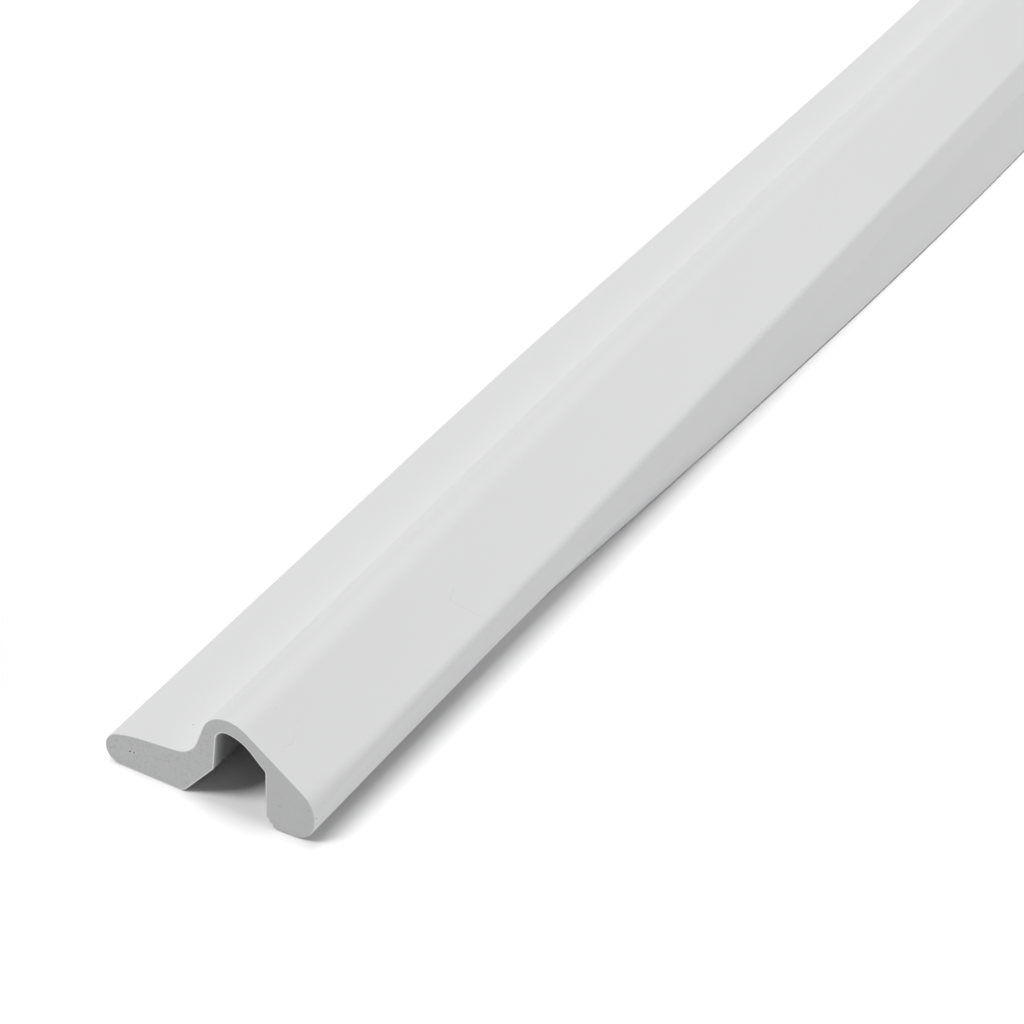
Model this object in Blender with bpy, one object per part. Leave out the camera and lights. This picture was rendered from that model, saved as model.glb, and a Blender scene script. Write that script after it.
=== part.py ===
"""Door draught stopper: one length of foamed rubber strip, lying on the floor.

The strip is one closed solid. Its section has a thick flange, a hump over an open
channel, and a foot on the end of a thin web. At the cut end the foot is curled
under. Along the strip it swings out and stands up as a tall leg, and it lifts the
body a little on that side. Past the swing the section stays the same.

Metres, +Z up. The strip runs along Y with its cut end at the low end.
"""

import math

import bmesh
import bpy
import numpy as np

MM = 0.001

# Overall sizes, in millimetres.
STRIP_LENGTH = 1000.0
SWING_LENGTH = 236.0
SWING_STATIONS = 44
PLAIN_STATIONS = 6

# Flange: the pad left of the channel, with its bottom flat on the floor.
FLANGE_WIDTH = 11.6
FLANGE_EDGE_HEIGHT = 4.1
FLANGE_MID_REACH = 7.5
FLANGE_MID_HEIGHT = 5.6
FLANGE_MID_RADIUS = 16.0
FLANGE_EDGE_RADIUS = 2.0
VALLEY_REACH = 1.55
VALLEY_HEIGHT = 6.6
VALLEY_RADIUS = 4.1

# Hump: the sharp corner that its round back is drawn in, and the round itself.
HUMP_REACH = 6.05
HUMP_CORNER_HEIGHT = 16.45
HUMP_RADIUS = 3.9

# Channel: the hollow under the hump, open at the bottom.
CHANNEL_CORNER_REACH = 6.1
CHANNEL_CORNER_HEIGHT = 14.8
CHANNEL_RADIUS = 2.2
LEDGE_REACH = 4.75
LEDGE_HEIGHT = 5.65
SMALL_RADIUS = 0.35

# Foot at the cut end, curled under: bulb outside, flat bottom, straight inner wall.
FOOT_REACH = 19.65
FOOT_SHOULDER_HEIGHT = 6.3
FOOT_BOTTOM_HEIGHT = 0.5
FOOT_RADIUS = 4.2
FOOT_TOE_REACH = 13.3
FOOT_INNER_REACH = 12.4
FOOT_INNER_EDGE_HEIGHT = 1.2
FOOT_INNER_HEIGHT = 8.8

# Leg past the swing: shoulder, outer wall down to the floor, flat sole.
LEG_SHOULDER_REACH = 21.75
LEG_SHOULDER_HEIGHT = 10.1
LEG_WALL_TOP_REACH = 23.6
LEG_WALL_TOP_HEIGHT = 7.6
LEG_TOE_REACH = 27.5
LEG_SOLE_WIDTH = 6.0
LEG_INNER_REACH = 18.0
LEG_INNER_HEIGHT = 8.0
LEG_RADIUS = 3.0

# What the swing does to the flange and the hump, from this distance on.
BODY_ROLL = math.radians(5.1)
BODY_SHIFT = 3.15
BODY_START = 72.0

FINE_STEPS = 9
COARSE_STEPS = 3


def between(near, far, share):
    """The value this share of the way from near to far."""
    return near + (far - near) * share


def rolled(x, z):
    """A point of the body after the swing: rolled about the flange's edge, then shifted."""
    pivot_x = FLANGE_EDGE_RADIUS - FLANGE_WIDTH
    pivot_z = FLANGE_EDGE_RADIUS
    along, up = x - pivot_x, z - pivot_z
    new_x = pivot_x + along * math.cos(BODY_ROLL) - up * math.sin(BODY_ROLL)
    new_z = pivot_z + along * math.sin(BODY_ROLL) + up * math.cos(BODY_ROLL)
    return new_x + BODY_SHIFT, new_z


def corners(body_share, foot_share):
    """The section's corners, clockwise: place, radius and arc steps.

    The body's corners lie this share of the way from flat to rolled, and the foot's
    this share of the way from the curled foot to the standing leg.
    """
    body = [
        (-FLANGE_WIDTH, 0.0, FLANGE_EDGE_RADIUS, FINE_STEPS),
        (-FLANGE_WIDTH, FLANGE_EDGE_HEIGHT, FLANGE_EDGE_RADIUS, FINE_STEPS),
        (-FLANGE_MID_REACH, FLANGE_MID_HEIGHT, FLANGE_MID_RADIUS, FINE_STEPS),
        (VALLEY_REACH, VALLEY_HEIGHT, VALLEY_RADIUS, FINE_STEPS),
        (HUMP_REACH, HUMP_CORNER_HEIGHT, HUMP_RADIUS, 2 * FINE_STEPS),
    ]
    inside = [
        (CHANNEL_CORNER_REACH, CHANNEL_CORNER_HEIGHT, CHANNEL_RADIUS, FINE_STEPS),
        (LEDGE_REACH, LEDGE_HEIGHT, SMALL_RADIUS, COARSE_STEPS),
        (0.0, 0.0, SMALL_RADIUS, COARSE_STEPS),
    ]
    foot = [
        (FOOT_REACH, FOOT_SHOULDER_HEIGHT, FOOT_RADIUS),
        (FOOT_REACH - FOOT_BOTTOM_HEIGHT, FOOT_BOTTOM_HEIGHT, FOOT_RADIUS),
        (FOOT_TOE_REACH, 0.0, SMALL_RADIUS),
        (FOOT_INNER_REACH, FOOT_INNER_EDGE_HEIGHT, SMALL_RADIUS),
        (FOOT_INNER_REACH, FOOT_INNER_HEIGHT, SMALL_RADIUS),
    ]
    leg = [
        (LEG_SHOULDER_REACH, LEG_SHOULDER_HEIGHT, LEG_RADIUS),
        (LEG_WALL_TOP_REACH, LEG_WALL_TOP_HEIGHT, LEG_RADIUS),
        (LEG_TOE_REACH, 0.0, SMALL_RADIUS),
        (LEG_TOE_REACH - LEG_SOLE_WIDTH, 0.0, SMALL_RADIUS),
        (LEG_INNER_REACH, LEG_INNER_HEIGHT, SMALL_RADIUS),
    ]
    foot_steps = [FINE_STEPS, FINE_STEPS, COARSE_STEPS, COARSE_STEPS, COARSE_STEPS]
    swung = [
        (between(fx, lx, foot_share), between(fz, lz, foot_share), between(fr, lr, foot_share), n)
        for (fx, fz, fr), (lx, lz, lr), n in zip(foot, leg, foot_steps)
    ]
    moved = []
    for x, z, radius, steps in body + inside:
        far_x, far_z = rolled(x, z)
        moved.append((between(x, far_x, body_share), between(z, far_z, body_share), radius, steps))
    return moved[: len(body)] + swung + moved[len(body) :]


def rounded(corner_rows):
    """The closed outline through these corners, each replaced by an arc of its radius."""
    outline = []
    points = [np.array(row[:2]) for row in corner_rows]
    count = len(points)
    for i in range(count):
        corner, wanted, steps = points[i], corner_rows[i][2], corner_rows[i][3]
        back = points[i - 1] - corner
        ahead = points[(i + 1) % count] - corner
        back_length, ahead_length = np.linalg.norm(back), np.linalg.norm(ahead)
        back, ahead = back / back_length, ahead / ahead_length
        half = 0.5 * math.acos(float(np.clip(back @ ahead, -1.0, 1.0)))
        tangent = min(wanted / math.tan(half), 0.49 * min(back_length, ahead_length))
        radius = tangent * math.tan(half)
        bisector = (back + ahead) / np.linalg.norm(back + ahead)
        centre = corner + bisector * radius / math.sin(half)
        start = corner + back * tangent - centre
        end = corner + ahead * tangent - centre
        sweep = math.atan2(start[0] * end[1] - start[1] * end[0], start @ end)
        for k in range(steps + 1):
            angle = sweep * k / steps
            cosine, sine = math.cos(angle), math.sin(angle)
            outline.append(
                centre + (start[0] * cosine - start[1] * sine, start[0] * sine + start[1] * cosine)
            )
    return np.array(outline)


def section(distance):
    """The outline at this distance from the cut end, standing on the floor."""
    swing = min(distance / SWING_LENGTH, 1.0)
    foot_share = math.sin(0.5 * math.pi * swing)
    lift = min(max((distance - BODY_START) / (SWING_LENGTH - BODY_START), 0.0), 1.0)
    body_share = lift * lift * (3.0 - 2.0 * lift)
    return rounded(corners(body_share, foot_share))


def stations():
    """Distance along the strip of each ring of the loft."""
    swing = [SWING_LENGTH * k / SWING_STATIONS for k in range(SWING_STATIONS)]
    plain = (STRIP_LENGTH - SWING_LENGTH) / PLAIN_STATIONS
    return swing + [SWING_LENGTH + plain * k for k in range(PLAIN_STATIONS + 1)]


def strip_mesh():
    """Carries the section along the strip and closes both cut ends."""
    rings = []
    for distance in stations():
        outline = section(distance)
        along = np.full(len(outline), distance)
        rings.append(np.column_stack([outline[:, 0], along, outline[:, 1]]))
    points = np.array(rings)
    low, high = points.min(axis=(0, 1)), points.max(axis=(0, 1))
    points -= [(low[0] + high[0]) / 2, (low[1] + high[1]) / 2, low[2]]
    work = bmesh.new()
    loops = [[work.verts.new(point * MM) for point in ring] for ring in points]
    count = len(loops[0])
    for near, far in zip(loops, loops[1:]):
        for i in range(count):
            j = (i + 1) % count
            work.faces.new((near[i], near[j], far[j], far[i]))
    ends = [work.faces.new(loops[0][::-1]), work.faces.new(loops[-1])]
    bmesh.ops.triangulate(work, faces=ends)
    bmesh.ops.recalc_face_normals(work, faces=work.faces)
    mesh = bpy.data.meshes.new("draught_strip")
    work.to_mesh(mesh)
    work.free()
    mesh.shade_smooth()
    mesh.set_sharp_from_angle(angle=math.radians(35.0))
    return mesh


def foam_material():
    """Pale grey foamed rubber with a closed, matt skin."""
    material = bpy.data.materials.new("pale_foam_rubber")
    material.use_nodes = True
    shader = material.node_tree.nodes["Principled BSDF"]
    shader.inputs["Base Color"].default_value = (0.62, 0.63, 0.63, 1.0)
    shader.inputs["Roughness"].default_value = 0.6
    shader.inputs["Metallic"].default_value = 0.0
    return material


def main():
    for item in list(bpy.data.objects):
        bpy.data.objects.remove(item, do_unlink=True)
    mesh = strip_mesh()
    mesh.materials.append(foam_material())
    strip = bpy.data.objects.new("draught_strip", mesh)
    bpy.context.scene.collection.objects.link(strip)


main()
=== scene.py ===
# %% [markdown]
# # A door draught stopper, dressed for its portrait
#
# The real thing is one length of foamed rubber, pressed through a die like toothpaste
# and cut with a blade. The solid model already holds its size and its section. This
# notebook gives it the fine surface: a smooth closed skin with faint draw lines, a cut
# face full of small cells, and a soft studio to see them in.

# %% Load the solid model as a fixed frame
import math

import bpy
import numpy as np
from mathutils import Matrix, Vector


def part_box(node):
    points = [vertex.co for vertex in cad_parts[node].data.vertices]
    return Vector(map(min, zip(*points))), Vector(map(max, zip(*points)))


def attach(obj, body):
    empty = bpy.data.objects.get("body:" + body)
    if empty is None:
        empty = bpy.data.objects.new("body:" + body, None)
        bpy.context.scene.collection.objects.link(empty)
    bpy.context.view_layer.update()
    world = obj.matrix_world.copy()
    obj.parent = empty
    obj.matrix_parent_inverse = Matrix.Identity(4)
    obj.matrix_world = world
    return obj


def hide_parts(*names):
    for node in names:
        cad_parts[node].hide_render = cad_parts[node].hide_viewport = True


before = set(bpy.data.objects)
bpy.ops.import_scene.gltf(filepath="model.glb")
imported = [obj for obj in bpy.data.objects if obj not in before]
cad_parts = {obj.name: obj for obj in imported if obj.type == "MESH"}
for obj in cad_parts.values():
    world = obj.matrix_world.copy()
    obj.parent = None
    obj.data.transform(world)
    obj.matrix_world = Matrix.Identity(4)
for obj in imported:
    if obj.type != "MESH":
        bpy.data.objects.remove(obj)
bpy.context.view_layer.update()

MM = 0.001
STRIP_NODE = "draught_strip"
node_low, node_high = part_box(STRIP_NODE)
strip_length = (node_high.y - node_low.y) / MM

# %% [markdown]
# ## The camera first
#
# A product photo of a long strip is taken with a long lens, so that the near end doesn't
# swell. The direction of the lens was worked out from where the strip's edges would meet
# far away. Placing the camera first means that every later step can be checked against
# the photo at once. The camera is put at a distance from one point that is easy to find
# in the photo: the flange's lower corner on the cut face.

# %% Camera at the photo's angle
LENS_MM = 102.1
SENSOR_MM = 36.0
CAMERA_AZIMUTH = math.radians(30.65)
CAMERA_PITCH = math.radians(36.38)
FLANGE_WIDTH = 11.6
CAMERA_FROM_CORNER = Vector((169.6, -207.6, 237.6))
CORNER = Vector((node_low.x + FLANGE_WIDTH * MM, node_low.y, node_low.z))


def make_camera():
    """A camera whose axis is turned by the azimuth and tipped down by the pitch, with no roll."""
    back = Vector(
        (
            math.sin(CAMERA_AZIMUTH) * math.cos(CAMERA_PITCH),
            -math.cos(CAMERA_AZIMUTH) * math.cos(CAMERA_PITCH),
            math.sin(CAMERA_PITCH),
        )
    )
    data = bpy.data.cameras.new("photo_camera")
    data.lens = LENS_MM
    data.sensor_width = SENSOR_MM
    camera = bpy.data.objects.new("photo_camera", data)
    camera.rotation_euler = back.to_track_quat("Z", "Y").to_euler()
    camera.location = CORNER + CAMERA_FROM_CORNER * MM
    bpy.context.scene.collection.objects.link(camera)
    bpy.context.scene.camera = camera
    return camera


photo_camera = make_camera()
print("camera at, mm:", [round(value / MM, 1) for value in photo_camera.location])

# %% [markdown]
# ## The section as rounded corners
#
# The die that makes such a strip is drawn as a polygon whose corners are then rounded, so
# the section is kept the same way here: a short list of corners, each with a radius. It
# could also be a traced curve, but then nobody could read a wall or a radius from it.
#
# The foot has two lists, one for the end where it is curled under and one for the
# length where it stands as a leg. The flange and the hump have one list, and a small roll
# and shift that the standing leg gives them.

# %% The section's corners, in millimetres
BODY = np.array(
    [
        (-FLANGE_WIDTH, 0.0, 2.3),
        (-FLANGE_WIDTH, 4.4, 2.8),
        (-7.5, 5.6, 16.0),
        (1.7, 6.6, 4.1),
        (5.8, 17.0, 4.4),
    ]
)
FOOT = np.array(
    [
        (19.65, 6.3, 4.2),
        (19.15, 0.5, 4.2),
        (13.45, 0.0, 0.35),
        (12.2, 1.62, 0.35),
        (12.6, 8.7, 0.5),
    ]
)
LEG = np.array(
    [
        (21.1, 10.5, 1.8),
        (23.3, 7.6, 3.0),
        (27.5, 0.0, 0.35),
        (21.5, 0.0, 0.35),
        (18.0, 8.0, 0.35),
    ]
)
CHANNEL = np.array(
    [
        (9.4, 12.15, 5.0),
        (5.82, 12.55, 1.9),
        (4.9, 5.75, 0.35),
        (0.0, 0.0, 1.7),
    ]
)
SWING_LENGTH = 236.0
BODY_START = 72.0
BODY_ROLL = math.radians(5.1)
BODY_SHIFT = 3.15
FLANGE_EDGE_RADIUS = 2.0
SHOULDER_ROW = len(BODY)
SHOULDER_RADIUS = 1.8
SHOULDER_FADE = 7.0
print("corners in the section:", len(BODY) + len(FOOT) + len(CHANNEL))

# %% [markdown]
# ## How the foot swings along the length
#
# Two shares say how far the change has gone at each distance from the cut end. The foot's
# share is a quarter of a sine wave: it starts at once and eases out. The body's share
# starts later and is a smooth S, because the flange stays flat until the leg pushes.
# Mixing corners, and only then rounding them, keeps every radius a true radius.
#
# The foot's shoulder is the one radius that changes near the cut alone. The blade lets
# the end spread, so its corner is softer there than a finger's width further in.

# %% Corners at every station along the strip


def shares(distance):
    """Foot share: sine of a quarter turn. Body share: a smooth step from its own start."""
    foot = np.sin(0.5 * np.pi * np.clip(distance / SWING_LENGTH, 0.0, 1.0))
    lift = np.clip((distance - BODY_START) / (SWING_LENGTH - BODY_START), 0.0, 1.0)
    return foot, lift * lift * (3.0 - 2.0 * lift)


def rolled(places):
    """The places turned about the centre of the flange's round edge, then moved sideways."""
    pivot = np.array([FLANGE_EDGE_RADIUS - FLANGE_WIDTH, FLANGE_EDGE_RADIUS])
    cosine, sine = math.cos(BODY_ROLL), math.sin(BODY_ROLL)
    turn = np.array([[cosine, sine], [-sine, cosine]])
    return (places - pivot) @ turn + pivot + np.array([BODY_SHIFT, 0.0])


def corners_along(distance):
    """Near corners plus a share of the way to the far ones: one row of corners per station."""
    foot_share, body_share = shares(distance)
    body_share, foot_share = body_share[:, None, None], foot_share[:, None, None]
    pieces = []
    for rows in (BODY, FOOT, CHANNEL):
        if rows is FOOT:
            pieces.append(rows[None] + (LEG - rows)[None] * foot_share)
        else:
            far = rows.copy()
            far[:, :2] = rolled(rows[:, :2])
            pieces.append(rows[None] + (far - rows)[None] * body_share)
    corners = np.concatenate(pieces, axis=1)
    spread = np.exp(-distance / SHOULDER_FADE)
    corners[:, SHOULDER_ROW, 2] = SHOULDER_RADIUS + (FOOT[0, 2] - SHOULDER_RADIUS) * spread
    return corners


sample = corners_along(np.array([0.0, strip_length]))
print("width at the cut end and past the swing, mm:", np.ptp(sample[:, :, 0], axis=1).round(1))

# %% [markdown]
# ## Rounding every corner at once
#
# A fillet touches both edges of its corner at the same distance, and its centre lies on
# the line that halves the corner. With all stations in one array, the same few lines of
# geometry round a hundred sections together, and no loop ever visits a point.
#
# Each arc and each straight gets a fixed number of steps. The numbers are chosen in
# pairs, upper side against lower side, because the cut faces are later woven across.

# %% Outlines from corners
# No fillet takes more than this share of an edge, so two fillets never overlap.
FILLET_SHARE = 0.49
ARC_STEPS = np.array([24, 14, 12, 32, 34, 20, 22, 6, 12, 8, 18, 34, 6, 8])
EDGE_STEPS = np.array([2, 4, 26, 20, 34, 4, 8, 20, 72, 14, 2, 14, 24, 58])


def cross(a, b):
    """The flat cross product of two arrays of 2-D vectors."""
    return a[..., 0] * b[..., 1] - a[..., 1] * b[..., 0]


def outlines(corners):
    """Each corner becomes an arc about its fillet's centre, each edge a straight run to the next."""
    places, wanted = corners[..., :2], corners[..., 2]
    back = np.roll(places, 1, axis=1) - places
    ahead = np.roll(places, -1, axis=1) - places
    back_length = np.linalg.norm(back, axis=2)
    ahead_length = np.linalg.norm(ahead, axis=2)
    back, ahead = back / back_length[..., None], ahead / ahead_length[..., None]
    half = 0.5 * np.arccos(np.clip((back * ahead).sum(2), -1.0, 1.0))
    reach = np.minimum(wanted / np.tan(half), FILLET_SHARE * np.minimum(back_length, ahead_length))
    radius = reach * np.tan(half)
    middle = (back + ahead) / np.linalg.norm(back + ahead, axis=2, keepdims=True)
    centre = places + middle * (radius / np.sin(half))[..., None]
    start = places + back * reach[..., None] - centre
    end = places + ahead * reach[..., None] - centre
    sweep = np.arctan2(cross(start, end), (start * end).sum(2))
    runs = []
    for k in range(corners.shape[1]):
        angle = sweep[:, k, None] * np.linspace(0.0, 1.0, ARC_STEPS[k] + 1)[None]
        cosine, sine = np.cos(angle)[..., None], np.sin(angle)[..., None]
        side = np.stack([-start[:, k, 1], start[:, k, 0]], axis=1)
        arc = centre[:, k, None] + start[:, k, None] * cosine + side[:, None] * sine
        following = (k + 1) % corners.shape[1]
        target = centre[:, following] + start[:, following]
        share = np.linspace(0.0, 1.0, EDGE_STEPS[k] + 1)[1:-1][None, :, None]
        straight = arc[:, -1:] + (target[:, None] - arc[:, -1:]) * share
        runs += [arc, straight]
    loop = np.concatenate(runs, axis=1)
    return np.roll(loop, -(ARC_STEPS[0] // 2), axis=1)


POINTS_ROUND = int(ARC_STEPS.sum() + EDGE_STEPS.sum())
near_loop = outlines(corners_along(np.array([0.0])))[0]
print("points round the section:", POINTS_ROUND, "width, mm:", np.ptp(near_loop[:, 0]).round(2))

# %% [markdown]
# ## Stations: close together where something happens
#
# A blade leaves a fine round edge on the cut, so the first twentieth of a millimetre needs
# several rings. The swing needs an even spread, and the plain length beyond it only a few.
# A grid with even spacing would spend most of its faces on the part that never changes.

# %% Where the rings lie along the strip
RIM_RADIUS = 0.05
RIM_RINGS = 5
DETAIL_LENGTH = 4.0
DETAIL_STEPS = 12
DETAIL_GROWTH = 1.6
SWING_STEPS = 81
PLAIN_STEPS = 25


def ring_distances():
    """Rim rings by equal angle, then ever longer steps, then even ones, then the far rim."""
    quarter = np.linspace(0.0, 0.5 * np.pi, RIM_RINGS)
    rim = RIM_RADIUS * (1.0 - np.cos(quarter))
    growing = np.linspace(0.0, 1.0, DETAIL_STEPS + 1)[1:] ** DETAIL_GROWTH
    detail = RIM_RADIUS + (DETAIL_LENGTH - RIM_RADIUS) * growing
    swing = np.linspace(DETAIL_LENGTH, SWING_LENGTH, SWING_STEPS + 1)[1:]
    plain = np.linspace(SWING_LENGTH, strip_length - RIM_RADIUS, PLAIN_STEPS + 1)[1:]
    far_rim = strip_length - rim[::-1]
    return np.concatenate([rim, detail, swing, plain, far_rim[1:]])


distances = ring_distances()
print("rings:", len(distances), "first", distances[:4].round(3), "last", distances[-2:].round(2))

# %% [markdown]
# ## The skin, the blade's edge and the torn corner
#
# The skin is the outline carried along the strip. A ring near an end is pulled inwards by
# a quarter circle, which gives the cut its fine round edge. A Bevel modifier would do the
# same, but it would also round the corners along the strip.
#
# Two small faults make it real. The skin of a soft strip is never quite even, so slow
# waves pull it in by a few hundredths of a millimetre. The foot's inner corner was torn
# rather than cut, so its edge goes in and out in small steps that fade within a few
# millimetres. Both only ever pull inwards, so neither makes the strip any bigger.

# %% Rings of the skin
WAVE_DEPTH = 0.035
# Each wave: turns round the section, and length along the strip in millimetres.
WAVES = ((2, 61.0), (3, 37.0), (5, 23.0), (8, 95.0))
dice = np.random.default_rng(11)


def inward_normals(loops):
    """The travel direction of a clockwise outline, turned a quarter to the right."""
    travel = np.roll(loops, -1, axis=1) - np.roll(loops, 1, axis=1)
    inward = np.stack([travel[..., 1], -travel[..., 0]], axis=2)
    return inward / np.linalg.norm(inward, axis=2, keepdims=True)


def waves(distance):
    """A sum of slow sine waves along and round the skin, scaled to run from 0 to 1."""
    around = np.linspace(0.0, 2.0 * np.pi, POINTS_ROUND, endpoint=False)[None]
    total = np.zeros((len(distance), POINTS_ROUND))
    for turns, length in WAVES:
        phase = dice.uniform(0.0, 2.0 * np.pi)
        total += np.sin(turns * around + 2.0 * np.pi * distance[:, None] / length + phase)
    return (total - total.min()) / np.ptp(total)


def skin_rings(distance):
    """The outline at each distance, pulled in by the rim's quarter circle and by the waves."""
    loops = outlines(corners_along(distance))
    from_end = np.minimum(distance, strip_length - distance)
    short = np.clip(1.0 - from_end / RIM_RADIUS, 0.0, 1.0)
    rim = RIM_RADIUS * (1.0 - np.sqrt(1.0 - short**2))
    pull = rim[:, None] + WAVE_DEPTH * waves(distance)
    flat = loops + inward_normals(loops) * pull[..., None]
    along = np.broadcast_to(distance[:, None], flat.shape[:2])
    return np.stack([flat[..., 0], along, flat[..., 1]], axis=2)


TEAR_START = -2.0
TEAR_END = 0.5
TEAR_COUNT = 11
TEAR_EASE = 0.4
TEAR_STEP_EASE = 0.02
TEAR_LOWEST = 0.1
TEAR_DEPTH = 0.26
TEAR_REACH = 0.6
TEAR_FADE = 1.3
TEAR_STEPS = np.linspace(TEAR_START, TEAR_END, TEAR_COUNT)
TEAR_KNOTS = np.sort(np.concatenate([TEAR_STEPS - TEAR_STEP_EASE, TEAR_STEPS + TEAR_STEP_EASE]))
TEAR_HEIGHTS = np.repeat(dice.uniform(TEAR_LOWEST, 1.0, TEAR_COUNT), 2)


def torn(points):
    """Points moved along the corner's inward direction: steps along the edge, times three fades."""
    toe, edge = FOOT[2, :2], FOOT[3, :2]
    along = (toe - edge) / np.linalg.norm(toe - edge)
    inward = np.array([-along[1], along[0]])
    offset = points[..., [0, 2]] - toe
    place = offset @ along
    begins = np.clip((place - TEAR_START) / TEAR_EASE, 0.0, 1.0)
    ends = np.clip((TEAR_END - place) / TEAR_EASE, 0.0, 1.0)
    fade = np.exp(-np.abs(offset @ inward) / TEAR_REACH - points[..., 1] / TEAR_FADE)
    pull = TEAR_DEPTH * np.interp(place, TEAR_KNOTS, TEAR_HEIGHTS) * (begins * ends) * fade
    return points + pull[..., None] * np.array([inward[0], 0.0, inward[1]])


rings = skin_rings(distances)
print("skin points:", rings.shape[0] * rings.shape[1])

# %% [markdown]
# ## The cut faces, woven between the upper and the lower side
#
# Filling a face with one polygon leaves long thin triangles that shade badly. Here the
# outline is split at its two narrow ends into an upper and a lower side with the same
# number of steps, and rows of points are laid between them. A narrow band of rows comes
# first, right inside the edge: it carries the pale line where the blade went through the
# dense skin. A vertex attribute tells the material how pale each point is: fully along
# the channel and the sole, and only a little along the top.

# %% One cut face
BAND_WIDTH = 0.17
BAND_ROWS = 4
WOVEN_ROWS = 14
TOP_PALENESS = 0.12
edge_paleness = np.where(np.arange(POINTS_ROUND) < POINTS_ROUND // 2, TOP_PALENESS, 1.0)


def cut_face(ring):
    """Points moved in step by step from the ring, then straight rows from upper to lower side."""
    inward = inward_normals(ring[None][..., [0, 2]])[0]
    inward = np.stack([inward[:, 0], np.zeros(POINTS_ROUND), inward[:, 1]], axis=1)
    depth = BAND_WIDTH * np.arange(1, BAND_ROWS + 1) / BAND_ROWS
    band = ring[None] + inward[None] * depth[:, None, None]
    half = POINTS_ROUND // 2
    upper, lower = band[-1, 1:half], band[-1, :half:-1]
    share = np.arange(1, WOVEN_ROWS) / WOVEN_ROWS
    woven = upper[None] + (lower - upper)[None] * share[:, None, None]
    pale = (1.0 - depth / BAND_WIDTH)[:, None] * edge_paleness[None]
    pale = np.concatenate([pale.ravel(), np.zeros(woven.shape[0] * woven.shape[1])])
    return np.concatenate([band.reshape(-1, 3), woven.reshape(-1, 3)]), pale


def quads(grid, closed):
    """Four corners of each cell of a grid of point numbers, row by row."""
    ahead = np.roll(grid, -1, axis=1) if closed else grid[:, 1:]
    here = grid if closed else grid[:, :-1]
    return np.stack([here[:-1], here[1:], ahead[1:], ahead[:-1]], axis=-1).reshape(-1, 4)


def cut_face_cells(outer, first):
    """Cells of the band and of the woven rows, then fans of triangles at the two narrow ends."""
    half = POINTS_ROUND // 2
    band = first + np.arange(BAND_ROWS * POINTS_ROUND).reshape(BAND_ROWS, POINTS_ROUND)
    woven = first + band.size + np.arange((WOVEN_ROWS - 1) * (half - 1)).reshape(WOVEN_ROWS - 1, -1)
    inner = band[-1]
    rows = np.concatenate([inner[None, 1:half], woven, inner[None, :half:-1]])
    cells = [quads(np.concatenate([outer[None], band]), closed=True), quads(rows, closed=False)]
    left = np.stack([np.full(WOVEN_ROWS, inner[0]), rows[1:, 0], rows[:-1, 0]], axis=1)
    right = np.stack([np.full(WOVEN_ROWS, inner[half]), rows[:-1, -1], rows[1:, -1]], axis=1)
    return np.concatenate(cells), np.concatenate([left, right])


near_points, near_pale = cut_face(rings[0])
far_points, far_pale = cut_face(rings[-1])
print("points in one cut face:", len(near_points))

# %% [markdown]
# ## One closed mesh
#
# The skin and both cut faces share their edge points, so the strip is one closed skin with
# no seam to leak light. Two material slots tell the smooth skin from the cut foam. A second
# vertex attribute marks the walls and the roof of the channel, where the skin's material
# paints shade.

# %% Build the strip
HOLLOW_FIRST = len(BODY) + 3
HOLLOW_LAST = len(BODY) + len(FOOT) + 2
HOLLOW_EASE = 2.0


def set_points(mesh, name, values):
    """Stores one number per vertex under a name that a material can read."""
    attribute = mesh.attributes.new(name, "FLOAT", "POINT")
    attribute.data.foreach_set("value", values.astype(np.float32))


# This share is where the skin's material paints shade inside the channel.
def hollow_share():
    """1 on the channel's walls and roof and 0 elsewhere, easing in from both cut ends."""
    starts = np.concatenate([[0], np.cumsum(ARC_STEPS + EDGE_STEPS)]) - ARC_STEPS[0] // 2
    inside = np.zeros(POINTS_ROUND)
    inside[starts[HOLLOW_FIRST] : starts[HOLLOW_LAST] + ARC_STEPS[HOLLOW_LAST]] = 1.0
    depth = np.minimum(distances, strip_length - distances) / HOLLOW_EASE
    return np.clip(depth, 0.0, 1.0)[:, None] * inside[None]


def build_strip():
    """Rings, then the two cut faces, joined by point numbers and moved to the solid's place."""
    count = rings.shape[0] * POINTS_ROUND
    numbers = np.arange(count).reshape(-1, POINTS_ROUND)
    skin = quads(numbers, closed=True)[:, ::-1].tolist()
    near, near_fans = cut_face_cells(numbers[0], count)
    far, far_fans = cut_face_cells(numbers[-1], count + len(near_points))
    cut = near.tolist() + near_fans.tolist() + far[:, ::-1].tolist() + far_fans[:, ::-1].tolist()
    points = np.concatenate([rings.reshape(-1, 3), near_points, far_points])
    mesh = bpy.data.meshes.new("foam_strip")
    mesh.from_pydata((torn(points) * MM + np.array(CORNER)).tolist(), [], skin + cut)
    slots = np.repeat([0, 1], [len(skin), len(cut)])
    mesh.polygons.foreach_set("material_index", slots.astype(np.int32))
    around = np.tile(edge_paleness, len(rings))
    set_points(mesh, "edge_pale", np.concatenate([around, near_pale, far_pale]))
    faces = np.zeros(len(near_points) + len(far_points))
    set_points(mesh, "hollow", np.concatenate([hollow_share().ravel(), faces]))
    mesh.shade_smooth()
    piece = bpy.data.objects.new("foam_strip", mesh)
    bpy.context.scene.collection.objects.link(piece)
    return piece


strip = build_strip()
strip.data.calc_loop_triangles()
print("triangles:", len(strip.data.loop_triangles))

# %% [markdown]
# ## Shared finishes as node groups
#
# Foamed rubber shows four small effects: cells, slow clouds of tone, draw lines left by the
# die, and single marks such as a scratch or a pore. Each could be wired straight into a
# material, but both materials need most of them. A node group is wired once, gets named
# inputs and outputs, and is set differently in each place. Every group reads Object
# coordinates, which are in metres here, so the sizes are real ones in millimetres.

# %% Helpers for node groups


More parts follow.
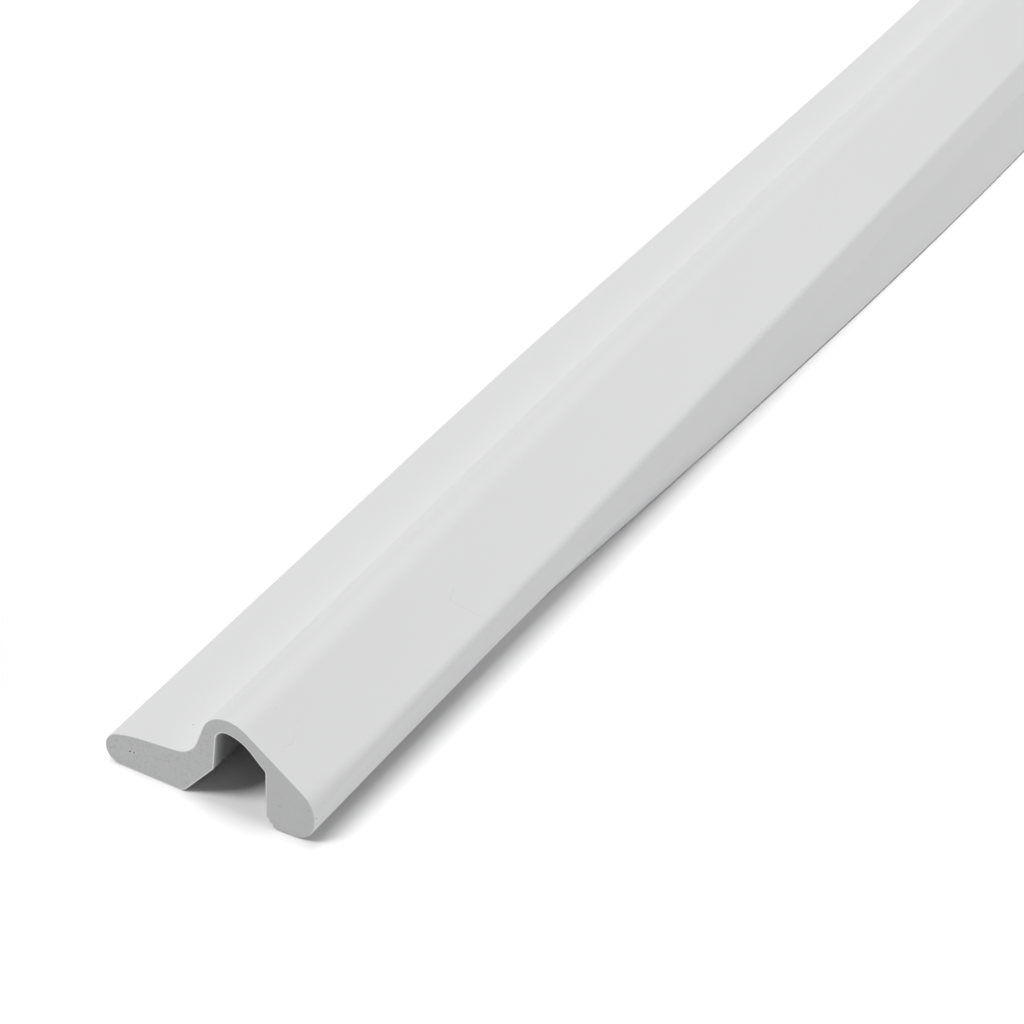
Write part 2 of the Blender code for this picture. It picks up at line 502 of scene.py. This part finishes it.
def new_group(name, inputs, outputs):
    """An empty shader node group with these named sockets, and its two end nodes."""
    group = bpy.data.node_groups.new(name, "ShaderNodeTree")
    for socket, kind, value in inputs:
        made = group.interface.new_socket(socket, in_out="INPUT", socket_type="NodeSocket" + kind)
        if value is not None:
            made.default_value = value
    for socket, kind in outputs:
        group.interface.new_socket(socket, in_out="OUTPUT", socket_type="NodeSocket" + kind)
    return group, group.nodes.new("NodeGroupInput"), group.nodes.new("NodeGroupOutput")


def wire(tree, *pairs):
    """Joins each output socket to each input socket."""
    for output, target in pairs:
        tree.links.new(output, target)


def feed(tree, socket, value):
    """Links an output to this input socket, or sets the socket to a plain value."""
    if isinstance(value, bpy.types.NodeSocket):
        tree.links.new(value, socket)
    else:
        socket.default_value = value


def node(tree, kind, settings=None, **values):
    """A new node with these settings, its input sockets fed by name, or by number as in i0."""
    made = tree.nodes.new("ShaderNode" + kind)
    for key, value in (settings or {}).items():
        setattr(made, key, value)
    for key, value in values.items():
        by_number = key[0] == "i" and key[1:].isdigit()
        feed(tree, made.inputs[int(key[1:]) if by_number else key], value)
    return made


def maths(tree, operation, first, second=0.0, third=0.0, clamp=False):
    """One Math node's result."""
    settings = {"operation": operation, "use_clamp": clamp}
    return node(tree, "Math", settings, i0=first, i1=second, i2=third).outputs[0]


def scaled_place(tree, place, size_mm, stretch=(1.0, 1.0, 1.0)):
    """Object coordinates over a size: one unit of the pattern is then that many millimetres."""
    vector = [s / (size_mm * MM) for s in stretch]
    return node(tree, "VectorMath", {"operation": "MULTIPLY"}, i0=place, i1=vector).outputs[0]


def use_group(tree, group, **values):
    """Places a node group and sets its inputs; an underscore in a name stands for a space."""
    made = tree.nodes.new("ShaderNodeGroup")
    made.node_tree = group
    for key, value in values.items():
        feed(tree, made.inputs[key.replace("_", " ")], value)
    return made


print("helpers ready")

# %% [markdown]
# ## Cells in the foam
#
# Foam is a pack of bubbles, and a blade opens each one to a small dish. A Voronoi pattern
# is exactly such a pack: its distance to the nearest centre is the dish, and its random
# colour per cell decides how deep each bubble was cut. Noise alone would give soft lumps
# with no cell in them.

# %% Group: foam cells
DISH_RIM = 0.52
DISH_FLOOR = 0.12


def make_cells_group():
    """Dish of each cell = distance to its centre, weighted by the cell's own random depth."""
    group, start, end = new_group(
        "foam_cells",
        [("Place", "Vector", None), ("Cell size mm", "Float", 0.2), ("Open share", "Float", 0.4)],
        [("Dish", "Float"), ("Height", "Float")],
    )
    per_metre = maths(group, "DIVIDE", 1.0 / MM, start.outputs["Cell size mm"])
    place = node(group, "VectorMath", {"operation": "SCALE"}, i0=start.outputs["Place"], Scale=per_metre)
    cells = node(group, "TexVoronoi", {"feature": "F1"}, Vector=place.outputs[0], Scale=1.0)
    chance = node(group, "SeparateColor", i0=cells.outputs["Color"])
    closed = maths(group, "SUBTRACT", 1.0, start.outputs["Open share"])
    opened = maths(group, "SUBTRACT", chance.outputs[0], closed)
    depth = maths(group, "DIVIDE", opened, start.outputs["Open share"], clamp=True)
    bowl = node(group, "MapRange", {"interpolation_type": "SMOOTHSTEP"}, Value=cells.outputs["Distance"])
    bowl.inputs["From Min"].default_value = DISH_RIM
    bowl.inputs["From Max"].default_value = DISH_FLOOR
    dish = maths(group, "MULTIPLY", bowl.outputs[0], depth)
    wire(group, (dish, end.inputs["Dish"]))
    wire(group, (maths(group, "SUBTRACT", 1.0, dish), end.inputs["Height"]))
    return group


CELLS_GROUP = make_cells_group()
print("group:", CELLS_GROUP.name, [item.name for item in CELLS_GROUP.interface.items_tree])

# %% [markdown]
# ## Clouds of tone and fine grain
#
# A rubber mix is never one even grey, and its skin is never quite smooth. Two noises of
# very different size do this: slow clouds of a few centimetres that shift the tone by a
# hair, and a grain of about a tenth of a millimetre that only the light notices. A third
# noise is drawn out along the strip, for the fine lines that the die leaves.

# %% Group: clouds and grain
CLOUD_STRETCH = 0.35
DRAW_LINE_SIZE = 0.45
DRAW_LINE_STRETCH = 0.004


def make_clouds_group():
    """Noises at the two given sizes, and one drawn out along the strip, each centred on zero."""
    group, start, end = new_group(
        "rubber_clouds",
        [("Place", "Vector", None), ("Cloud size mm", "Float", 30.0), ("Grain size mm", "Float", 0.15)],
        [("Cloud", "Float"), ("Grain", "Float"), ("Draw lines", "Float")],
    )
    outputs = []
    for size, stretch, detail in (("Cloud size mm", CLOUD_STRETCH, 3.0), ("Grain size mm", 1.0, 2.0)):
        per_metre = maths(group, "DIVIDE", 1.0 / MM, start.outputs[size])
        settings = {"operation": "SCALE"}
        place = node(group, "VectorMath", settings, i0=start.outputs["Place"], Scale=per_metre)
        settings = {"operation": "MULTIPLY"}
        along = node(group, "VectorMath", settings, i0=place.outputs[0], i1=(1.0, stretch, 1.0))
        noise = node(group, "TexNoise", Vector=along.outputs[0], Scale=1.0, Detail=detail, Roughness=0.55)
        outputs.append(maths(group, "SUBTRACT", noise.outputs[0], 0.5))
    lines = scaled_place(group, start.outputs["Place"], DRAW_LINE_SIZE, (1.0, DRAW_LINE_STRETCH, 1.0))
    streaks = node(group, "TexNoise", Vector=lines, Scale=1.0, Detail=2.0, Roughness=0.6)
    outputs.append(maths(group, "SUBTRACT", streaks.outputs[0], 0.5))
    for value, name in zip(outputs, ("Cloud", "Grain", "Draw lines")):
        wire(group, (value, end.inputs[name]))
    return group


CLOUDS_GROUP = make_clouds_group()
print("group:", CLOUDS_GROUP.name)

# %% [markdown]
# ## Single marks
#
# A scratch, a speck and an open pore are each a short line with a soft width. The group
# finds the nearest point on the line from one end to the other, and fades with the
# distance from it. A painted texture could hold the same marks, but it would need a picture
# and a fixed number of pixels.

# %% Group: one mark


def make_mark_group():
    """Distance to the nearest point of a short line, turned into a mask that is 1 on the line."""
    group, start, end = new_group(
        "single_mark",
        [
            ("Place", "Vector", None),
            ("From", "Vector", None),
            ("To", "Vector", None),
            ("Width mm", "Float", 0.1),
        ],
        [("Mask", "Float")],
    )
    place, first, last = (start.outputs[name] for name in ("Place", "From", "To"))
    line = node(group, "VectorMath", {"operation": "SUBTRACT"}, i0=last, i1=first).outputs[0]
    offset = node(group, "VectorMath", {"operation": "SUBTRACT"}, i0=place, i1=first).outputs[0]
    reach = node(group, "VectorMath", {"operation": "DOT_PRODUCT"}, i0=offset, i1=line).outputs["Value"]
    square = node(group, "VectorMath", {"operation": "DOT_PRODUCT"}, i0=line, i1=line).outputs["Value"]
    share = maths(group, "DIVIDE", reach, square, clamp=True)
    nearest = node(group, "VectorMath", {"operation": "SCALE"}, i0=line, Scale=share).outputs[0]
    gap = node(group, "VectorMath", {"operation": "DISTANCE"}, i0=offset, i1=nearest).outputs["Value"]
    width = maths(group, "MULTIPLY", start.outputs["Width mm"], MM)
    fade = node(group, "MapRange", {"interpolation_type": "SMOOTHSTEP"}, Value=gap)
    wire(group, (width, fade.inputs["From Min"]))
    fade.inputs["From Max"].default_value = 0.0
    wire(group, (fade.outputs[0], end.inputs["Mask"]))
    return group


MARK_GROUP = make_mark_group()
print("group:", MARK_GROUP.name)

# %% [markdown]
# ## The marks in this strip
#
# Each mark's place was worked out from its pixel in the photo: the camera's ray through
# the pixel meets the skin or the cut face there. A row holds the two ends of a stroke in
# millimetres from the flange's lower corner on the cut face, then its half width and its
# strength. Handling left a bent scratch and an L-shaped one on the slope. The cut face has
# two open pores side by side, a curl of small ones near the edge, and a stain in the foot.

# %% Rows of marks
SKIN_MARKS = (
    ((13.37, 5.44, 11.31), (13.70, 4.58, 11.05), 0.20, 0.5),
    ((13.70, 4.58, 11.05), (13.86, 3.89, 10.91), 0.22, 0.6),
    ((13.86, 3.89, 10.91), (13.58, 2.79, 11.10), 0.26, 0.6),
    ((13.58, 2.79, 11.10), (13.84, 2.07, 10.89), 0.22, 0.4),
    ((10.36, 5.91, 13.56), (10.51, 5.61, 13.44), 0.26, 0.6),
    ((12.67, 6.82, 11.88), (12.77, 6.62, 11.80), 0.24, 0.6),
    ((14.82, 39.1, 10.92), (15.30, 37.4, 10.56), 0.22, 0.8),
    ((15.30, 37.4, 10.56), (18.88, 39.1, 8.11), 0.18, 0.7),
    ((19.46, 0.30, 4.36), (19.47, 0.36, 4.30), 0.18, 8.0),
    ((19.40, 0.42, 3.36), (19.40, 0.50, 3.24), 0.17, 5.0),
    ((19.36, 2.07, 5.50), (19.36, 2.12, 5.44), 0.20, 1.6),
    ((-1.70, 5.02, 6.24), (-1.60, 5.12, 6.25), 0.20, 5.0),
)
# The two pores are painted near black, as painted shade inside each hole.
PORES = (
    ((-7.92, 0.0, 2.93), (-7.72, 0.0, 3.03), 0.17, 1.0),
    ((-7.20, 0.0, 2.98), (-7.16, 0.0, 3.14), 0.15, 1.0),
)
# Small pores on the cut, painted darker as the shade inside them, and a real stain in the foot.
CUT_MARKS = (
    ((-11.05, 0.0, 2.20), (-10.55, 0.0, 2.42), 0.12, 0.55),
    ((-10.45, 0.0, 2.50), (-10.15, 0.0, 2.62), 0.13, 0.5),
    ((-10.10, 0.0, 2.78), (-10.22, 0.0, 2.92), 0.11, 0.4),
    ((4.28, 0.0, 11.05), (4.34, 0.0, 11.20), 0.13, 0.45),
    ((4.80, 0.0, 10.85), (4.86, 0.0, 10.92), 0.14, 0.6),
    ((4.20, 0.0, 10.62), (4.26, 0.0, 10.75), 0.12, 0.4),
    ((-1.75, 0.0, 5.00), (-1.70, 0.0, 5.03), 0.13, 0.45),
    ((-3.60, 0.0, 3.85), (-3.55, 0.0, 3.87), 0.14, 0.4),
    ((-1.80, 0.0, 1.75), (-1.75, 0.0, 1.80), 0.14, 0.35),
    ((14.25, 0.0, 4.10), (14.55, 0.0, 4.30), 0.26, 0.28),
    ((18.45, 0.0, 5.30), (18.75, 0.0, 5.60), 0.30, 0.22),
)


def strongest(tree, place, rows):
    """Every row's mask times its strength, and the highest of them all."""
    total = 0.0
    for first, last, width, strength in rows:
        ends = [tuple(CORNER + Vector(end) * MM) for end in (first, last)]
        mark = use_group(tree, MARK_GROUP, Place=place, From=ends[0], To=ends[1], Width_mm=width)
        weighted = maths(tree, "MULTIPLY", mark.outputs["Mask"], strength)
        total = maths(tree, "MAXIMUM", total, weighted)
    return total


print("marks:", len(SKIN_MARKS), "on the skin,", len(PORES) + len(CUT_MARKS), "on the cut")

# %% [markdown]
# ## The closed skin
#
# Where the foam touches the die it closes to a thin smooth skin. It is matt with a very
# soft sheen, pale grey with a breath of blue, and lighter than the cut. Most of its look
# is what isn't there, so every effect stays faint: clouds of a few parts in a hundred, a
# grain a hundredth of a millimetre deep, and draw lines that only show at a low angle.
# Inside the channel the skin is painted darker: painted shade for the dim light in there.

# %% Material: skin
SKIN_PALE = (0.690, 0.691, 0.696, 1.0)
SKIN_DEEP = (0.664, 0.665, 0.671, 1.0)
MARK_TONE = (0.30, 0.30, 0.30, 1.0)
MARK_SHARE = 0.12
# Painted shade: the skin's colour inside the channel, darker for the dim light there.
CHANNEL_PAINTED_SHADE = (0.22, 0.22, 0.222, 1.0)
SKIN_CLOUDS = {"Cloud_size_mm": 26.0, "Grain_size_mm": 0.14}
SKIN_CLOUD_SHARE = 1.1
SKIN_ROUGHNESS = 0.58
SKIN_ROUGHNESS_SPREAD = 0.25
SKIN_GRAIN_DEPTH = 0.012


def new_material(name):
    """A material with its Principled BSDF, and Object coordinates ready to read."""
    material = bpy.data.materials.new(name)
    material.use_nodes = True
    tree = material.node_tree
    place = node(tree, "TexCoord").outputs["Object"]
    return material, tree, tree.nodes["Principled BSDF"], place


def blend_colours(tree, factor, first, second):
    """The colour this share of the way from first to second."""
    settings = {"data_type": "RGBA"}
    return node(tree, "Mix", settings, i0=factor, i6=first, i7=second).outputs[2]


def skin_material():
    """Two tones mixed by clouds and draw lines, shade painted inside the channel, a grain for roughness
    and bump.
    """
    material, tree, shader, place = new_material("foam_skin")
    clouds = use_group(tree, CLOUDS_GROUP, Place=place, **SKIN_CLOUDS)
    tone = maths(tree, "MULTIPLY_ADD", clouds.outputs["Cloud"], SKIN_CLOUD_SHARE, 0.5)
    rubber = blend_colours(tree, tone, SKIN_PALE, SKIN_DEEP)
    hollow = node(tree, "Attribute", {"attribute_name": "hollow"}).outputs["Fac"]
    # Painted shade: the channel's walls and roof are painted darker.
    channel_shaded = blend_colours(tree, hollow, rubber, CHANNEL_PAINTED_SHADE)
    marked = maths(tree, "MULTIPLY", strongest(tree, place, SKIN_MARKS), MARK_SHARE, clamp=True)
    wire(tree, (blend_colours(tree, marked, channel_shaded, MARK_TONE), shader.inputs["Base Color"]))
    grain = clouds.outputs["Grain"]
    roughness = maths(tree, "MULTIPLY_ADD", grain, SKIN_ROUGHNESS_SPREAD, SKIN_ROUGHNESS)
    wire(tree, (roughness, shader.inputs["Roughness"]))
    height = maths(tree, "ADD", grain, clouds.outputs["Draw lines"])
    bump = node(tree, "Bump", Strength=0.7, Distance=SKIN_GRAIN_DEPTH * MM, Height=height)
    wire(tree, (bump.outputs[0], shader.inputs["Normal"]))
    shader.inputs["Specular IOR Level"].default_value = 0.35
    return material


strip.data.materials.append(skin_material())
print("skin:", strip.data.materials[0].name)

# %% [markdown]
# ## The cut foam
#
# The blade opens the foam: a darker, rougher face, with fine cells in the thick flange and
# almost none in the foot, where the mix was pressed tighter. The open cells are painted
# darker, as painted shade inside each one. Right at the edge the dense
# skin shows as a thin pale line. The vertex attribute says how pale each point is there,
# which no coordinate of the strip as a whole could.

# %% Material: cut foam
CUT_TONE = (0.600, 0.602, 0.607, 1.0)
# Dark end of the cut's tone: painted shade in the open cells and small pores, and random mottle and a
# stain.
SHADE_AND_MOTTLE_TONE = (0.34, 0.341, 0.345, 1.0)
EDGE_TONE = (0.90, 0.90, 0.89, 1.0)
# Painted shade: the colour of the shade inside the pores.
PORE_SHADE_TONE = (0.10, 0.10, 0.10, 1.0)
PORE_RIM = 0.13
PORE_DEPTH = 4.0
FINE_CELLS = {"Cell_size_mm": 0.34, "Open_share": 0.8}
COARSE_CELLS = {"Cell_size_mm": 0.8, "Open_share": 0.15}
CUT_CLOUDS = {"Cloud_size_mm": 3.0, "Grain_size_mm": 0.3}
CUT_GRAIN_SHARE = -1.1
CUT_CLOUD_SHARE = 0.12
DENT_SHARE = 0.5
DENT_DEPTH = 0.03
FOAM_FADES = 4.0
FOAM_ENDS = 9.0
FOAM_IN_FOOT = 0.25


def cut_material():
    """Cells and grain darken and dent the face, pores and marks more; the darkening of cells and pores is
    painted shade. The rim stays pale.
    """
    material, tree, shader, place = new_material("foam_cut")
    fine = use_group(tree, CELLS_GROUP, Place=place, **FINE_CELLS)
    coarse = use_group(tree, CELLS_GROUP, Place=place, **COARSE_CELLS)
    clouds = use_group(tree, CLOUDS_GROUP, Place=place, **CUT_CLOUDS)
    across = node(tree, "SeparateXYZ", i0=place).outputs["X"]
    foamy = node(tree, "MapRange", {"interpolation_type": "SMOOTHSTEP"}, Value=across)
    foamy.inputs["From Min"].default_value = CORNER.x + FOAM_ENDS * MM
    foamy.inputs["From Max"].default_value = CORNER.x + FOAM_FADES * MM
    foamy.inputs["To Min"].default_value = FOAM_IN_FOOT
    dishes = maths(tree, "MAXIMUM", fine.outputs["Dish"], coarse.outputs["Dish"])
    mottle = maths(tree, "MULTIPLY_ADD", clouds.outputs["Grain"], CUT_GRAIN_SHARE, dishes)
    dents = maths(tree, "MULTIPLY", mottle, foamy.outputs[0])
    dented = maths(tree, "MULTIPLY", dents, DENT_SHARE)
    cloudy = maths(tree, "MULTIPLY_ADD", clouds.outputs["Cloud"], CUT_CLOUD_SHARE, dented)
    marks = strongest(tree, place, CUT_MARKS)
    shade = maths(tree, "ADD", cloudy, marks, clamp=True)
    # Painted shade in the cells and small pores, mixed with random grain, clouds and a stain.
    foam = blend_colours(tree, shade, CUT_TONE, SHADE_AND_MOTTLE_TONE)
    edge = node(tree, "Attribute", {"attribute_name": "edge_pale"}).outputs["Fac"]
    pale = maths(tree, "MULTIPLY", edge, 1.4, clamp=True)
    rimmed = blend_colours(tree, pale, foam, EDGE_TONE)
    holes = strongest(tree, place, PORES)
    lip_rows = [(first, last, width + PORE_RIM, 1.0) for first, last, width, _ in PORES]
    lips = maths(tree, "MULTIPLY", strongest(tree, place, lip_rows), 0.8)
    lipped = blend_colours(tree, lips, rimmed, EDGE_TONE)
    # The pores are painted near black as painted shade; the bump dents them too.
    open_share = maths(tree, "MULTIPLY", holes, 1.25, clamp=True)
    wire(tree, (blend_colours(tree, open_share, lipped, PORE_SHADE_TONE), shader.inputs["Base Color"]))
    shader.inputs["Roughness"].default_value = 0.9
    shader.inputs["Specular IOR Level"].default_value = 0.2
    deep = maths(tree, "ADD", dents, maths(tree, "MULTIPLY", holes, PORE_DEPTH))
    height = maths(tree, "MULTIPLY", deep, -1.0)
    bump = node(tree, "Bump", Strength=0.5, Distance=DENT_DEPTH * MM, Height=height)
    wire(tree, (bump.outputs[0], shader.inputs["Normal"]))
    return material


strip.data.materials.append(cut_material())
print("cut:", strip.data.materials[1].name)

# %% [markdown]
# ## Floor and light
#
# The photo's light can be read from its greys. The narrow shadow beside the foot says that
# the main light stands high, in front and over the flange's side. The bright bulb under the
# shoulder says that a second one lies low on the foot's side, and the dark cut face says
# that the rest comes from straight above and from the left.
#
# Each soft box is a sun lamp with a wide angle: a box so far away that both ends of the
# strip get the same light. One big area lamp could do it too, but its light would fade
# along a metre of strip. Together they light the strip at a plain level. The floor is pure
# white to the camera, so lit floor is white and shadow still shows, and a little darker to
# the light that bounces off it.

# %% Studio
FLOOR_SIZE = 6.0
FLOOR_FOR_CAMERA = (1.0, 1.0, 1.0, 1.0)
FLOOR_FOR_LIGHT = (0.75, 0.75, 0.75, 1.0)
DOME_LEVEL = 0.02
SOFT_BOXES = (
    ("key_box", 215.0, 55.0, 24.0, 0.55),
    ("top_box", 205.0, 64.0, 24.0, 0.085),
    ("left_box", 285.0, 55.0, 30.0, 0.135),
    ("overhead_box", 345.0, 84.0, 26.0, 0.33),
    ("side_box", 88.0, 9.0, 18.0, 0.41),
)


def make_floor():
    """A flat square on the level z = 0 with a colour for the camera and one for other rays."""
    half = 0.5 * FLOOR_SIZE
    corners = [(-half, -half, 0.0), (half, -half, 0.0), (half, half, 0.0), (-half, half, 0.0)]
    mesh = bpy.data.meshes.new("studio_floor")
    mesh.from_pydata(corners, [], [(0, 1, 2, 3)])
    floor = bpy.data.objects.new("studio_floor", mesh)
    bpy.context.scene.collection.objects.link(floor)
    material = bpy.data.materials.new("studio_paper")
    material.use_nodes = True
    tree = material.node_tree
    tree.nodes.clear()
    seen = node(tree, "LightPath").outputs["Is Camera Ray"]
    colour = blend_colours(tree, seen, FLOOR_FOR_LIGHT, FLOOR_FOR_CAMERA)
    paper = node(tree, "BsdfDiffuse", Color=colour)
    node(tree, "OutputMaterial", Surface=paper.outputs[0])
    mesh.materials.append(material)
    return floor


def make_dome():
    """An even sky: white where it is seen or mirrored, and low for the light that it gives."""
    world = bpy.data.worlds.new("studio_dome")
    world.use_nodes = True
    tree = world.node_tree
    tree.nodes.clear()
    path = node(tree, "LightPath")
    seen = path.outputs["Is Camera Ray"]
    for name in ("Is Glossy Ray", "Is Transmission Ray"):
        seen = maths(tree, "MAXIMUM", seen, path.outputs[name])
    level = maths(tree, "MULTIPLY_ADD", seen, 1.0 - DOME_LEVEL, DOME_LEVEL)
    sky = node(tree, "Background", Color=(1.0, 1.0, 1.0, 1.0), Strength=level)
    node(tree, "OutputWorld", Surface=sky.outputs[0])
    bpy.context.scene.world = world


def make_soft_box(name, azimuth, elevation, width, level):
    """A wide sun: azimuth from +Y to +X, elevation and width in degrees, level on a facing sheet."""
    turn, rise = math.radians(azimuth), math.radians(elevation)
    flat = math.cos(rise)
    direction = Vector((math.sin(turn) * flat, math.cos(turn) * flat, math.sin(rise)))
    data = bpy.data.lights.new(name, "SUN")
    data.angle = math.radians(width)
    data.energy = level * math.pi
    box = bpy.data.objects.new(name, data)
    box.rotation_euler = direction.to_track_quat("Z", "Y").to_euler()
    bpy.context.scene.collection.objects.link(box)


make_floor()
make_dome()
for box_row in SOFT_BOXES:
    make_soft_box(*box_row)
bpy.context.scene.view_settings.view_transform = "Standard"
print("studio ready, soft boxes:", [row[0] for row in SOFT_BOXES])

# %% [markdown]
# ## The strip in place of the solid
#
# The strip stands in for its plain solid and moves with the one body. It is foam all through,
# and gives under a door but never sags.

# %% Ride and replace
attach(strip, "root")
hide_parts(STRIP_NODE)
